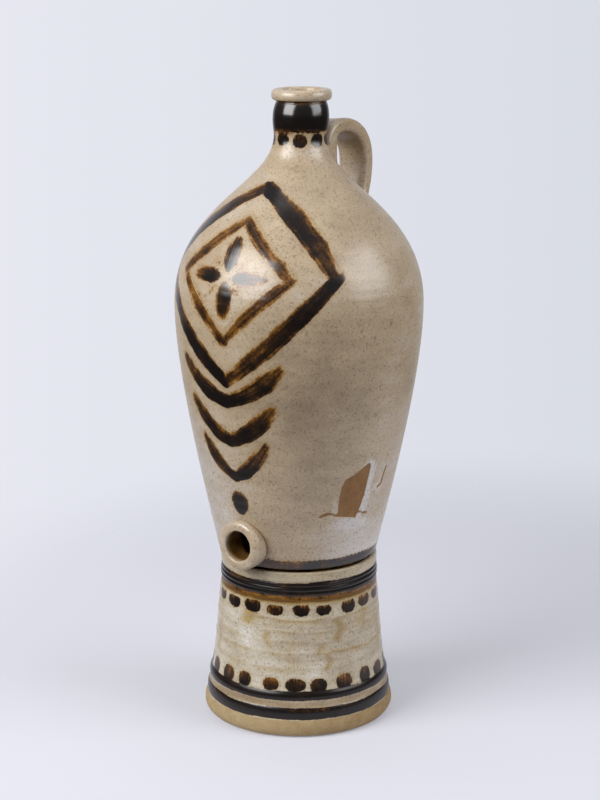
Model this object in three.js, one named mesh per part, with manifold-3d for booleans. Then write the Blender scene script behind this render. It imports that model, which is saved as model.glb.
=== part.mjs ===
// A stoneware cider jar on its own stand: a tall shouldered jar, thrown in sections that are luted
// together with slip, with a strap handle behind and a boss for a tap in front. The jar sits loose in
// the rim of a flared drum, so that a mug fits under the tap, and it lifts straight off.
// Millimetres, +Z up, the origin on the floor at the centre of the stand, the tap facing -Y.
import * as THREE from "three";
import { mergeVertices } from "three/addons/utils/BufferGeometryUtils.js";
import Module from "manifold-3d";

// Fits
const SLIP_GAP = 0.3; // layer of slip between two luted pieces
const SEAT_GAP = 0.3; // between the jar's foot and the seat it stands on
const FOOT_PLAY = 1.5; // all round, between the jar's foot and the rim of the stand

// Jar body, with heights from the underside of its own foot
const JAR_HEIGHT = 445;
const JAR_WALL = 8;
const JAR_FLOOR = 10;
const JAR_FOOT_RADIUS = 69;
const FOOT_HEIGHT = 6; // upright foot that stands inside the rim
const FOOT_RING_WIDTH = 14;
const FOOT_RECESS = 2; // hollow turned under the floor
const HEEL_OVERHANG = 5.6; // bevel from the foot out to the wall
const HEEL_FLARE = 0.25; // how far the wall leans out at the heel, per unit of height
const HEEL_SWEEP = 65;
const BELLY_RADIUS = 117;
const BELLY_HEIGHT = 245;
const BELLY_SWEEP = 65;
const SHOULDER_SWEEP = 89;
const SECTION_JOIN_HEIGHT = 150; // where the two thrown sections of the body meet
const FLOOR_CORNER = 9; // soft corner inside, between the floor and the wall

// Neck and lip
const NECK_RADIUS = 24.5;
const NECK_SWEEP = 50;
const NECK_STUB = 24; // the neck is luted on this far below the collar
const COLLAR_HEIGHT = 26;
const COLLAR_SWELL = 2.1; // how far the collar bulges past the neck
const LIP_HEIGHT = 10;
const LIP_GROOVE_RADIUS = 24;
const LIP_RADIUS = 28;
const LIP_FLAT_RADIUS = 24;
const MOUTH_RADIUS = 17.5;
const MOUTH_ROUNDING = 3;

// Tap boss
const BOSS_RADIUS = 23;
const BOSS_LENGTH = 14; // from the wall to its face
const BOSS_ROUNDING = 5;
const BOSS_CLEARANCE = 1.4; // between the boss and the rim below it
const TAP_BORE_RADIUS = 14.2;
const TAP_BORE_ROUNDING = 2.5;

// Strap handle
const STRAP_WIDTH = 31;
const STRAP_THICKNESS = 14;
const STRAP_ROOT_FLARE = 6; // extra width where it is pressed to the neck and to the shoulder
const STRAP_END_SWELL = 3; // extra thickness there
const STRAP_FLARE_SHARE = 0.22; // share of the strap's length over which each end spreads
const HANDLE_ROOT_DROP = 23.2; // from the collar down to the middle of the strap's root
const HANDLE_ROOT_DEPTH = 4; // both ends are drawn this far inside the wall, then cut
const HANDLE_SPRING = 11.5; // pull of the sweep away from the neck, outwards and upwards
const HANDLE_RISE = 29.2;
const HANDLE_REACH = 117.8; // pull of the sweep over to the outer side
const HANDLE_CROWN = 40.7;
const HANDLE_TAIL_RADIUS = 76;
const HANDLE_TAIL_DROP = 71.7; // from the strap's root down to its tail

// Stand
const STAND_HEIGHT = 158;
const STAND_FOOT_RADIUS = 91;
const STAND_WALL = 9;
const STAND_HOLLOW = 1.2; // how far the drum's side curves in from a straight cone
const RIM_THICKNESS = 3.5;
const RIM_FACE_HEIGHT = 8.5; // upright face above the groove
const RIM_ROUNDING = 1.5;
const SEAT_DEPTH = 5; // below the top of the rim
const SEAT_THICKNESS = 9;
const SEAT_OPENING_RADIUS = 50;
const SEAT_HAUNCH = 12; // slope under the seat, down to the wall
const GROOVE_DEPTH = 1;
const GROOVE_HEIGHT = 1.5;
const CORDON_HEIGHT = 14; // rounded band under the groove
const CORDON_SWELL = 1.4;
const PLINTH_HEIGHT = 17; // bare clay foot
const PLINTH_ROUNDING = 4.5;
const BASE_BAND_HEIGHT = 12;
const BASE_FILLET_HEIGHT = 6.5;
const BASE_BEAD_HEIGHT = 8.5;
const BASE_STEP = 1; // each moulding of the base stands this far outside the next one up

// Facets
const BODY_SIDES = 48;
const NECK_SIDES = 36;
const BOSS_SIDES = 32;
const STRAP_SIDES = 12;
const STRAP_STEPS = 24;
const CURVE_STEPS = 6;
const ROUND_STEPS = 3;

// Places that follow from the sizes above
const heelRadius = JAR_FOOT_RADIUS + HEEL_OVERHANG;
const heelHeight = FOOT_HEIGHT + HEEL_OVERHANG;
const lipHeight = JAR_HEIGHT - LIP_HEIGHT;
const neckHeight = lipHeight - COLLAR_HEIGHT;
const neckJoinHeight = neckHeight - NECK_STUB;
const tapHeight = SEAT_DEPTH + BOSS_CLEARANCE + BOSS_RADIUS;
const seatHeight = STAND_HEIGHT - SEAT_DEPTH;
const rimInnerRadius = JAR_FOOT_RADIUS + FOOT_PLAY;
const rimRadius = rimInnerRadius + RIM_THICKNESS;

const wasm = await Module();
wasm.setup();

const at = (radius, height) => new THREE.Vector2(radius, height);

// The wall below the belly and the shoulder above it, each one sweep that is upright at the belly.
// An inset of 0 gives the outside, and the wall's thickness gives the inside.
function lowerWall(inset) {
  return new THREE.CubicBezierCurve(
    at(heelRadius - inset, heelHeight),
    at(heelRadius + HEEL_FLARE * HEEL_SWEEP - inset, heelHeight + HEEL_SWEEP),
    at(BELLY_RADIUS - inset, BELLY_HEIGHT - BELLY_SWEEP),
    at(BELLY_RADIUS - inset, BELLY_HEIGHT),
  );
}

function shoulder(inset, neckRadius) {
  return new THREE.CubicBezierCurve(
    at(BELLY_RADIUS - inset, BELLY_HEIGHT),
    at(BELLY_RADIUS - inset, BELLY_HEIGHT + SHOULDER_SWEEP),
    at(neckRadius, neckHeight - NECK_SWEEP),
    at(neckRadius, neckHeight),
  );
}

const outside = { low: lowerWall(0), high: shoulder(0, NECK_RADIUS) };
const inside = { low: lowerWall(JAR_WALL), high: shoulder(JAR_WALL, MOUTH_RADIUS) };

// Both sweeps rise all the way, so a height picks one point of the wall.
function radiusAt(wall, height) {
  const curve = height < BELLY_HEIGHT ? wall.low : wall.high;
  let low = 0;
  let high = 1;
  for (let i = 0; i < 40; i++) {
    const middle = (low + high) / 2;
    if (curve.getPoint(middle).y < height) low = middle;
    else high = middle;
  }
  return curve.getPoint(low).x;
}

function wallPoints(wall, from, to, steps = CURVE_STEPS) {
  const points = [];
  for (let i = 0; i <= steps; i++) {
    const height = from + ((to - from) * i) / steps;
    points.push(at(radiusAt(wall, height), height));
  }
  return points;
}

// A quarter round from one point to another that leaves the first one towards the corner.
function rounded(from, corner, to, steps = ROUND_STEPS) {
  return new THREE.QuadraticBezierCurve(from, corner, to).getPoints(steps);
}

// Turns a profile of radius and height about the Z axis.
function turned(points, sides) {
  return new THREE.LatheGeometry(points, sides).rotateX(Math.PI / 2);
}

function solid(geometry) {
  const bare = new THREE.BufferGeometry();
  bare.setAttribute("position", geometry.getAttribute("position"));
  bare.setIndex(geometry.getIndex());
  const merged = mergeVertices(bare, 1e-3);
  const vertProperties = new Float32Array(merged.getAttribute("position").array);
  const triVerts = new Uint32Array(merged.getIndex().array);
  return new wasm.Manifold(new wasm.Mesh({ numProp: 3, vertProperties, triVerts }));
}

function geometryOf(body) {
  const mesh = body.getMesh();
  const geometry = new THREE.BufferGeometry();
  geometry.setAttribute("position", new THREE.BufferAttribute(mesh.vertProperties, 3));
  geometry.setIndex(new THREE.BufferAttribute(mesh.triVerts, 1));
  geometry.computeVertexNormals();
  return geometry;
}

// The jar's outside as one plug, grown by the layer of slip: what is luted on is cut to this.
function lutingPlug() {
  const points = [
    at(0, 0),
    at(JAR_FOOT_RADIUS + SLIP_GAP, 0),
    at(JAR_FOOT_RADIUS + SLIP_GAP, FOOT_HEIGHT),
    ...wallPoints(outside, heelHeight, SECTION_JOIN_HEIGHT),
    ...wallPoints(outside, SECTION_JOIN_HEIGHT, BELLY_HEIGHT).slice(1),
    ...wallPoints(outside, BELLY_HEIGHT, neckJoinHeight).slice(1),
    ...wallPoints(outside, neckJoinHeight, neckHeight, ROUND_STEPS).slice(1),
  ];
  const grown = points.map((p, i) => (i < 3 ? p : at(p.x + SLIP_GAP, p.y)));
  const collar = collarPoints().map((p) => at(p.x + SLIP_GAP, p.y));
  return solid(turned([...grown, ...collar.slice(1), at(0, lipHeight)], BODY_SIDES));
}

function collarPoints() {
  const swell = at(NECK_RADIUS + 2 * COLLAR_SWELL, neckHeight + COLLAR_HEIGHT / 2);
  return rounded(at(NECK_RADIUS, neckHeight), swell, at(LIP_GROOVE_RADIUS, lipHeight), 2 * ROUND_STEPS);
}

// Thrown lower section, with the floor and a bore for the tap.
function bodyLower() {
  const top = SECTION_JOIN_HEIGHT;
  const cornerHeight = JAR_FLOOR + FLOOR_CORNER;
  const cornerRadius = radiusAt(inside, cornerHeight);
  const shell = turned(
    [
      at(0, FOOT_RECESS),
      at(JAR_FOOT_RADIUS - FOOT_RING_WIDTH - FOOT_RECESS, FOOT_RECESS),
      at(JAR_FOOT_RADIUS - FOOT_RING_WIDTH, 0),
      at(JAR_FOOT_RADIUS, 0),
      at(JAR_FOOT_RADIUS, FOOT_HEIGHT),
      ...wallPoints(outside, heelHeight, top),
      ...wallPoints(inside, top, cornerHeight),
      ...rounded(
        at(cornerRadius, cornerHeight),
        at(cornerRadius, JAR_FLOOR),
        at(cornerRadius - FLOOR_CORNER, JAR_FLOOR),
      ).slice(1),
      at(0, JAR_FLOOR),
    ],
    BODY_SIDES,
  );
  const reach = 2 * BELLY_RADIUS;
  const bore = new THREE.CylinderGeometry(TAP_BORE_RADIUS, TAP_BORE_RADIUS, reach, BOSS_SIDES);
  bore.translate(0, -reach / 2, tapHeight);
  return geometryOf(solid(shell).subtract(solid(bore)));
}

// Thrown upper section: the belly and the shoulder.
function bodyUpper() {
  const bottom = SECTION_JOIN_HEIGHT + SLIP_GAP;
  return turned(
    [
      ...wallPoints(outside, bottom, BELLY_HEIGHT),
      ...wallPoints(outside, BELLY_HEIGHT, neckJoinHeight).slice(1),
      ...wallPoints(inside, neckJoinHeight, BELLY_HEIGHT),
      ...wallPoints(inside, BELLY_HEIGHT, bottom).slice(1),
      at(radiusAt(outside, bottom), bottom),
    ],
    BODY_SIDES,
  );
}

// Neck, thrown with its swollen collar.
function neckCollar() {
  const bottom = neckJoinHeight + SLIP_GAP;
  const top = lipHeight;
  return turned(
    [
      ...wallPoints(outside, bottom, neckHeight, 2 * ROUND_STEPS),
      ...collarPoints().slice(1),
      at(MOUTH_RADIUS, top),
      ...wallPoints(inside, neckHeight, bottom, 2 * ROUND_STEPS),
      at(radiusAt(outside, bottom), bottom),
    ],
    NECK_SIDES,
  );
}

// Rolled lip, with a narrow flat on top.
function lipRing() {
  const bottom = lipHeight + SLIP_GAP;
  const middle = (bottom + JAR_HEIGHT) / 2;
  return turned(
    [
      at(LIP_GROOVE_RADIUS, bottom),
      ...rounded(at(LIP_GROOVE_RADIUS, bottom), at(LIP_RADIUS, bottom), at(LIP_RADIUS, middle)).slice(1),
      ...rounded(
        at(LIP_RADIUS, middle),
        at(LIP_RADIUS, JAR_HEIGHT),
        at(LIP_FLAT_RADIUS, JAR_HEIGHT),
      ).slice(1),
      ...rounded(
        at(MOUTH_RADIUS + MOUTH_ROUNDING, JAR_HEIGHT),
        at(MOUTH_RADIUS, JAR_HEIGHT),
        at(MOUTH_RADIUS, JAR_HEIGHT - MOUTH_ROUNDING),
      ),
      at(MOUTH_RADIUS, bottom),
      at(LIP_GROOVE_RADIUS, bottom),
    ],
    NECK_SIDES,
  );
}

// Thrown ring for the tap. It is turned about the bore, which runs along Y, and cut to the jar's wall.
function tapBoss(plug) {
  const back = radiusAt(outside, heelHeight) / 2;
  const face = radiusAt(outside, tapHeight) + BOSS_LENGTH;
  const ring = new THREE.LatheGeometry(
    [
      at(BOSS_RADIUS, back),
      ...rounded(
        at(BOSS_RADIUS, face - BOSS_ROUNDING),
        at(BOSS_RADIUS, face),
        at(BOSS_RADIUS - BOSS_ROUNDING, face),
      ),
      ...rounded(
        at(TAP_BORE_RADIUS + TAP_BORE_ROUNDING, face),
        at(TAP_BORE_RADIUS, face),
        at(TAP_BORE_RADIUS, face - TAP_BORE_ROUNDING),
      ),
      at(TAP_BORE_RADIUS, back),
      at(BOSS_RADIUS, back),
    ],
    BOSS_SIDES,
  );
  ring.rotateX(Math.PI);
  ring.translate(0, 0, tapHeight);
  return geometryOf(solid(ring).subtract(plug));
}

// Pulled strap handle: a flat section with soft edges, drawn along one sweep from the neck to the
// shoulder, spreading at both ends where it is pressed on, and cut to the jar's wall.
function strapHandle(plug) {
  const rootHeight = neckHeight - HANDLE_ROOT_DROP;
  const rootRadius = radiusAt(outside, rootHeight) - HANDLE_ROOT_DEPTH;
  const sweep = new THREE.CubicBezierCurve(
    at(rootRadius, rootHeight),
    at(rootRadius + HANDLE_SPRING, rootHeight + HANDLE_RISE),
    at(HANDLE_REACH, rootHeight + HANDLE_CROWN),
    at(HANDLE_TAIL_RADIUS, rootHeight - HANDLE_TAIL_DROP),
  );
  const positions = [];
  for (let i = 0; i <= STRAP_STEPS; i++) {
    const t = i / STRAP_STEPS;
    const centre = sweep.getPoint(t);
    const along = sweep.getTangent(t);
    const spread = Math.max(0, 1 - Math.min(t, 1 - t) / STRAP_FLARE_SHARE) ** 2;
    const halfWidth = (STRAP_WIDTH + STRAP_ROOT_FLARE * spread) / 2;
    const halfThickness = (STRAP_THICKNESS + STRAP_END_SWELL * spread) / 2;
    for (let k = 0; k < STRAP_SIDES; k++) {
      const angle = (2 * Math.PI * k) / STRAP_SIDES;
      const across = halfWidth * Math.sign(Math.cos(angle)) * Math.sqrt(Math.abs(Math.cos(angle)));
      const up = halfThickness * Math.sin(angle);
      positions.push(across, centre.x - along.y * up, centre.y + along.x * up);
    }
  }
  const faces = [];
  const ringStart = (i) => i * STRAP_SIDES;
  for (let i = 0; i < STRAP_STEPS; i++) {
    for (let k = 0; k < STRAP_SIDES; k++) {
      const next = (k + 1) % STRAP_SIDES;
      const a = ringStart(i) + k;
      const b = ringStart(i) + next;
      const c = ringStart(i + 1) + next;
      const d = ringStart(i + 1) + k;
      faces.push(a, d, b, b, d, c);
    }
  }
  for (let k = 1; k < STRAP_SIDES - 1; k++) {
    faces.push(0, k, k + 1);
    const last = ringStart(STRAP_STEPS);
    faces.push(last, last + k + 1, last + k);
  }
  const strap = new THREE.BufferGeometry();
  strap.setAttribute("position", new THREE.Float32BufferAttribute(positions, 3));
  strap.setIndex(faces);
  return geometryOf(solid(strap).subtract(plug));
}

// Flared drum, open above and below, with a rim and a seat for the jar's foot.
function standDrum() {
  const bandTop = PLINTH_HEIGHT + BASE_BAND_HEIGHT;
  const filletTop = bandTop + BASE_FILLET_HEIGHT;
  const beadTop = filletTop + BASE_BEAD_HEIGHT;
  const grooveTop = STAND_HEIGHT - RIM_FACE_HEIGHT;
  const grooveBottom = grooveTop - GROOVE_HEIGHT;
  const cordonBottom = grooveBottom - CORDON_HEIGHT;
  const waistRadius = rimRadius - GROOVE_DEPTH;
  const plinthRadius = STAND_FOOT_RADIUS - 2 * BASE_STEP;
  const bandRadius = plinthRadius - BASE_STEP;
  const filletRadius = bandRadius - BASE_STEP;
  const beadRadius = filletRadius - BASE_STEP;
  const drumRadius = beadRadius - BASE_STEP;
  const side = new THREE.QuadraticBezierCurve(
    at(drumRadius, beadTop),
    at((drumRadius + waistRadius) / 2 - 2 * STAND_HOLLOW, (beadTop + cordonBottom) / 2),
    at(waistRadius, cordonBottom),
  );
  const cordonMiddle = (cordonBottom + grooveBottom) / 2;
  const beadMiddle = (filletTop + beadTop) / 2;
  const seatUnder = seatHeight - SEAT_THICKNESS;
  const hollowTop = waistRadius - STAND_WALL;
  const hollowFoot = STAND_FOOT_RADIUS - STAND_WALL;
  return turned(
    [
      at(hollowFoot, 0),
      at(STAND_FOOT_RADIUS - PLINTH_ROUNDING / 2, 0),
      at(STAND_FOOT_RADIUS, PLINTH_ROUNDING),
      at(plinthRadius, PLINTH_HEIGHT),
      at(bandRadius, PLINTH_HEIGHT + BASE_STEP),
      at(bandRadius - BASE_STEP / 2, bandTop),
      at(filletRadius - BASE_STEP / 2, bandTop + BASE_STEP),
      at(filletRadius - BASE_STEP, filletTop),
      at(beadRadius, beadMiddle),
      ...side.getPoints(CURVE_STEPS),
      ...rounded(
        at(waistRadius, cordonBottom),
        at(waistRadius + 2 * CORDON_SWELL, cordonMiddle),
        at(waistRadius, grooveBottom),
      ).slice(1),
      at(rimRadius, grooveTop),
      ...rounded(
        at(rimRadius, STAND_HEIGHT - RIM_ROUNDING),
        at(rimRadius, STAND_HEIGHT),
        at(rimRadius - RIM_ROUNDING, STAND_HEIGHT),
      ),
      at(rimInnerRadius, STAND_HEIGHT),
      at(rimInnerRadius, seatHeight),
      at(SEAT_OPENING_RADIUS, seatHeight),
      at(SEAT_OPENING_RADIUS, seatUnder),
      at(hollowTop, seatUnder - SEAT_HAUNCH),
      at(hollowFoot, 0),
    ],
    BODY_SIDES,
  );
}

const glaze = new THREE.MeshStandardMaterial({ color: "#c9b99c", roughness: 0.25, metalness: 0 });
const darkGlaze = new THREE.MeshStandardMaterial({ color: "#2a1d14", roughness: 0.2, metalness: 0 });

function piece(name, geometry, material) {
  const mesh = new THREE.Mesh(geometry, material);
  mesh.name = name;
  return mesh;
}

const plug = lutingPlug();
const jar = new THREE.Group();
jar.position.z = seatHeight + SEAT_GAP;
jar.add(
  piece("body_lower", bodyLower(), glaze),
  piece("body_upper", bodyUpper(), glaze),
  piece("neck_collar", neckCollar(), darkGlaze),
  piece("lip_ring", lipRing(), glaze),
  piece("tap_boss", tapBoss(plug), glaze),
  piece("strap_handle", strapHandle(plug), glaze),
);

const ciderJar = new THREE.Group();
ciderJar.add(piece("stand_drum", standDrum(), glaze), jar);

export default ciderJar;
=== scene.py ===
# A stoneware cider jar on its stand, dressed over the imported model: wheel-thrown walls, a pulled strap
# handle, a thrown boss for the tap, an oatmeal glaze and brushwork in iron brown.
# Pieces are drawn in millimetres and scaled to metres at the end.
import math
from functools import partial

import bmesh
import bpy
import numpy as np
from mathutils import Matrix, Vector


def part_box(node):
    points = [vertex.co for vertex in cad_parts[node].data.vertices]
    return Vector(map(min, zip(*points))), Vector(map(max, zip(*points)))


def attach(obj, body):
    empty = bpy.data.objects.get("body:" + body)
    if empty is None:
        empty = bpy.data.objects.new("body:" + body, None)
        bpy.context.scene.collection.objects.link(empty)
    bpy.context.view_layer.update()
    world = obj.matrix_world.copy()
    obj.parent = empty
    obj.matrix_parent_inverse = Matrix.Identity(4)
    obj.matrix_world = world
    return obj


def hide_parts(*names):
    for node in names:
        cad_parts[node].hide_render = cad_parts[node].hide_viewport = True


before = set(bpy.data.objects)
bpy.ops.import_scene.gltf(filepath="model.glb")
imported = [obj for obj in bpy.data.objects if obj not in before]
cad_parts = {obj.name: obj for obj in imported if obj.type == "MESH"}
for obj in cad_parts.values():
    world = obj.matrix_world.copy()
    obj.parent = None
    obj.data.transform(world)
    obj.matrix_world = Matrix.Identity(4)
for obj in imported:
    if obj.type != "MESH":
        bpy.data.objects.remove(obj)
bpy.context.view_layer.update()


def millimetres(node):
    """The lowest and the highest corner of a node, in millimetres."""
    low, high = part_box(node)
    return np.array(low) * 1000, np.array(high) * 1000


# The jar, with heights above the underside of its own foot
jar_base = millimetres("body_lower")[0][2]
lip_top = millimetres("lip_ring")[1][2]
belly_radius = millimetres("body_upper")[1][0]
HEEL_RADIUS = 75.4
HEEL_HEIGHT = 8.9
FOOT_RADIUS = 68.6
BELLY_HEIGHT = 247
NECK_RADIUS = 25.4
NECK_HEIGHT = 409
GROOVE_RADIUS = 23
GROOVE_HEIGHT = 434
LIP_RADIUS = 28
MOUTH_RADIUS = 17.5
JAR_WALL = 8
JAR_FLOOR = 10
JAR_COLUMNS = 300
WALL_ROWS = 2.4  # spacing of the rows of the wall
LOWER_PULLS = ((91.4, 76.6), (belly_radius, BELLY_HEIGHT - 62))  # points that its curves are pulled to
SHOULDER_PULLS = ((belly_radius, BELLY_HEIGHT + 95), (15.6, NECK_HEIGHT - 50))
COLLAR_PULLS = ((26.5, 416), (27.0, 426.5))

VIEW_TURN = math.radians(37)  # the camera stands this far round from the tap, to the right
VIEW_RIGHT = np.array([math.cos(VIEW_TURN), math.sin(VIEW_TURN), 0])  # as the camera sees it
VIEW_AHEAD = np.array([-math.sin(VIEW_TURN), math.cos(VIEW_TURN), 0])

# How far it strays from the true form, as a jar thrown by hand does
LIP_LEAN = 2.6  # to the right of the axis, as the camera sees it
FOOT_LEAN = 1.2  # to the left of it
OUT_OF_ROUND = 0.5
OVAL_TWIST = 90  # height over which the oval of the wall turns by a radian
THROWING_RING = 0.16
THROWING_PITCH = 8.5
THROWING_BEAT = 31  # height for a radian of the slow wave that makes them stronger and weaker
FULL_FAULT_RADIUS = 60  # nearer the axis than this, the faults fade

# The boss for the tap
boss_low, boss_high = millimetres("tap_boss")
BOSS_RADIUS = boss_high[0] + 0.6
BOSS_HEIGHT = (boss_low[2] + boss_high[2]) / 2 + 1.6
BOSS_FACE = boss_low[1] - 1
BORE_RADIUS = 14.2
HOLE_RADIUS = 18.6  # of the hole that is cut in the wall behind it
HOLE_CUTTER = (60, -80)  # length of the cutter, and where its middle lies along Y
BOSS_SIDE = 5.4  # depths behind its face where its side begins and where it meets the wall
BOSS_BACK = 15.0
BOSS_TUCK = 0.9  # how far its side draws in again at the wall
BOSS_COLUMNS = 96

# The strap handle
STRAP_WIDTH = 34
STRAP_OUTER = 6.1  # its thickness outside and inside the line of the sweep
STRAP_INNER = 8.0
STRAP_OUTER_FORM = (0.4, 0.55)  # powers that make its section square, across it and in its thickness
STRAP_INNER_FORM = (0.45, 0.6)
STRAP_SWEEP = ((41.0, 362.0), (6.0, 418.0), (39.5, 416.5), (126.0, 424.0), (79.0, 322.0))
STRAP_OFFSET = -1.2  # it was set on a little to one side, and twists down to that side over its crown
STRAP_TWIST = 3
STRAP_FILLET = 0.7  # extra share of its thickness inside the bend at the neck
STRAP_FILLET_AT = (0.19, 0.09)  # middle and half width of that, as shares of its length
STRAP_HOLLOW = 0.8  # shallow channel along its outer face, from the potter's thumb
STRAP_ROOT = (0.12, 0.6)  # share of its length that thins out on the neck, and by how much
STRAP_SINK = 5  # how far its lower end goes into the shoulder
STRAP_TAIL_START = 0.88  # share of its length after which it is smeared onto the shoulder
STRAP_TAIL = 6  # extra width there
STRAP_THUMB = 2.2  # depth of the thumb's dent there
STRAP_THUMB_AT = (0.93, 0.03)  # as STRAP_FILLET_AT
STRAP_THIN = 0.6  # share of its outer thickness that is smeared away there
STRAP_EDGE_THIN = 0.5  # and of its edges' thickness
STRAP_PAD = (27, 20, 6)  # half width, half length and half height of the clay smeared round that end
STRAP_PAD_SINK = 4  # how deep the middle of that clay lies in the shoulder
STRAP_PAD_DROP = 2  # how far down the shoulder it is smeared
ARCH_MIDDLE = (55, 375)  # of the hollow under the strap, where shade is painted, out from the axis and up the jar
ARCH_RADIUS = 32
STRAP_SIDES = 40
STRAP_ROWS = 1.9  # spacing of the rows along it

# The stand, with heights from the floor
stand_top = millimetres("stand_drum")[1][2]
stand_foot = millimetres("stand_drum")[1][0]
RIM_RADIUS = 74.9
RIM_INNER = 70.5
WAIST_RADIUS = 74.8
DRUM_SWEEP = ((84.2, 44.4), (79.4, 68), (79.1, 96), (WAIST_RADIUS, 134))
STAND_LEAN = 0.8  # its foot stands this far to the left of its rim, as the camera sees it
SEAT_HEIGHT = 153
SEAT_OPENING = 50
STAND_COLUMNS = 300
STAND_OUT_OF_ROUND = 0.25
STAND_TWIST = 40  # as OVAL_TWIST
CORDON_RING = 0.3
CORDON_PITCH = 4.4
GLAZE_LINE = 17.1  # the foot is bare below this
RIDGES = (  # throwing lines: height, how far it stands out, and seed
    (113, 0.5, 81), (106, 0.35, 91), (101, 0.45, 83), (92, 0.25, 89), (80, 0.55, 85), (66, 0.3, 87),
)
RUNS = (  # of tan glaze: degrees round from the tap, upper and lower end, half width and strength
    (15, 102, 86, 4, 0.4), (66, 112, 90, 5, 0.45), (57, 80, 62, 4, 0.4), (52, 90, 77, 5, 0.3),
    (-1, 127, 104, 9, 0.5), (32, 92, 60, 6, 0.2), (88, 118, 96, 7, 0.3), (110, 100, 70, 8, 0.3),
    (150, 112, 84, 6, 0.35), (200, 96, 62, 9, 0.3), (240, 120, 92, 6, 0.4), (285, 104, 76, 8, 0.3),
    (325, 98, 64, 6, 0.35),
)
POOLS = (  # of pale glaze: degrees round from the tap, height, half width and strength
    (-2.5, 89.5, 9, 0.9), (49, 62, 8, 0.8), (150, 80, 10, 0.7), (260, 70, 9, 0.8),
)

# Bands run round on the wheel: lower and upper edge above the floor, load of the brush, waver and seed
COLLAR_BANDS = ((562.6, 586.0, 1.1, 0.5, 11), (585.2, 588.4, 0.7, 0.4, 17), (560.2, 563.4, 0.7, 1.2, 13))
# The heel's band runs down over the undercut below the heel, where it is painted shade
HEEL_BAND_AND_GAP_SHADE = (156, 170.4, 0.64, 0.5, 21)
HEEL_BEADS = 100
STAND_BANDS = (
    (135.2, 148.4, 1.0, 0.4, 41), (132.4, 135.8, 0.45, 0.8, 43),
    (35.8, 44.6, 1.0, 0.4, 51), (17.6, 28.9, 1.05, 0.3, 61),
)
DOT_ROWS = (  # count, degrees round to one, height, its size, load, how flat above, how dark at its edge
    (20, 37.3, 122.4, 18.5, 14, (0.6, 0.85), 0.3, 0.3),
    (21, 34.5, 49.8, 19, 15.4, (0.55, 0.72), 0.0, 0.35),
)
NECK_DOTS = 9
NECK_DOT_TURN = math.radians(35.9)
NECK_DOT_HEIGHT = 553.4
NECK_DOT_SIZE = (13, 12.4)

# The design on the jar: a nested lozenge, chevrons and a drop
LOZENGE_TURN = math.radians(1)
LOZENGE_HEIGHT = 440
LOZENGE_HALF = np.array([104.0, 96.0])
LOZENGE_LINES = (  # share of its size, bulge of its sides, width of the brush and its load at both ends
    (1, 0.56, 17, (0.95, 0.5)), (0.6, 0.48, 13, (0.5, 0.36)),
)
CHEVRONS = ((56, 326, 17), (46, 288, 16), (35, 252, 14))  # half width, height of the tip and brush
CHEVRON_RISE = 34
DROP_HEIGHT = 226

# The bare patch: its place, and outlines and cracks about it, to the right and upwards
PATCH_TURN = math.radians(70)
PATCH_HEIGHT = 236
FLAME = np.array(
    [
        (-19, -22), (-15, -2), (-11, 9), (-6, 16), (3, 19.5),
        (22.5, 30), (23, 25), (13, -3), (6, -17), (0, -26),
    ],
    float,
)
FLAME_RIGHT = FLAME[6:9]
LEFT_TAIL = np.array([(-18, -21), (-28.5, -18), (-36, -20.5)], float)
RIGHT_TAIL = np.array([(5, -21), (14.5, -24)], float)
HAIR_CRACK = np.array([(46.5, 20.5), (40.5, 11), (37, 3), (30.5, 0)], float)

# Brushwork is kept as distances to the edge of the paint, up to this far.
EDGE_REACH = 6.0
STROKE_STEP = 1.2  # spacing of the points along a stroke
BRISTLE_SHIFT = 400  # each stroke starts at a random place in the pattern of the bristles

# The floor, the room, the lamps and the camera, with places in metres
PAPER = "#DADAE3"
FIBRE = 2.5  # millimetres, coarser than real fibres, so that it shows
FLOOR_RADIUS = 1600  # millimetres
FADE_MIDDLE = 0.2 * VIEW_RIGHT + 0.15 * VIEW_AHEAD
FADE = (0.33, 0.82)  # distances from there where the floor starts to fade and where it is gone
SHADOW_LIFT = 0.25
ROOM_LIGHT = 0.28
BACKDROP = ("#E7E8F1", "#D9DCE5")  # from left to right
LAMPS = (  # name, degrees round from the camera, height, distance from the axis, width and height, watts
    ("left_box", -55, 1.28, 1.55, (1.6, 1.25), 52),
    ("right_box", 71, 1.18, 1.55, (1.5, 1.25), 27),
    ("top_box", 180, 2.1, 0.5, (1.4, 1.4), 7),
)
LAMP_AIM = 0.38  # height on the axis that they are turned to
CAMERA_DISTANCE = 1.85
CAMERA_HEIGHT = 0.76
CAMERA_TILT = math.radians(13.8)
CAMERA_STEP = 0.0009  # to the right, so that the jar stands a hair left of the middle
CAMERA_LENS = 90.5

rng = np.random.default_rng(7)


def bezier(pulls, count):
    """Points along the curve that a few pull points draw, of any degree."""
    t = np.linspace(0, 1, count)[:, None]
    degree = len(pulls) - 1
    points = np.zeros((count, len(pulls[0])))
    for k, pull in enumerate(pulls):
        points += math.comb(degree, k) * (1 - t) ** (degree - k) * t ** k * np.array(pull, float)
    return points


def swept(spacing, *pulls):
    """A curve again, with its points evenly spaced."""
    points = bezier(pulls, 240)
    gone = np.concatenate([[0], np.cumsum(np.linalg.norm(np.diff(points, axis=0), axis=1))])
    count = max(2, int(round(gone[-1] / spacing)) + 1)
    even = np.linspace(0, gone[-1], count)
    return np.stack([np.interp(even, gone, points[:, i]) for i in range(points.shape[1])], axis=1)


def profile(*stretches):
    """One profile from stretches that meet end to end."""
    points = [np.array(stretches[0][0], float)]
    for stretch in stretches:
        for point in np.array(stretch, float):
            if np.linalg.norm(point - points[-1]) > 0.05:
                points.append(point)
    return np.array(points)


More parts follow.
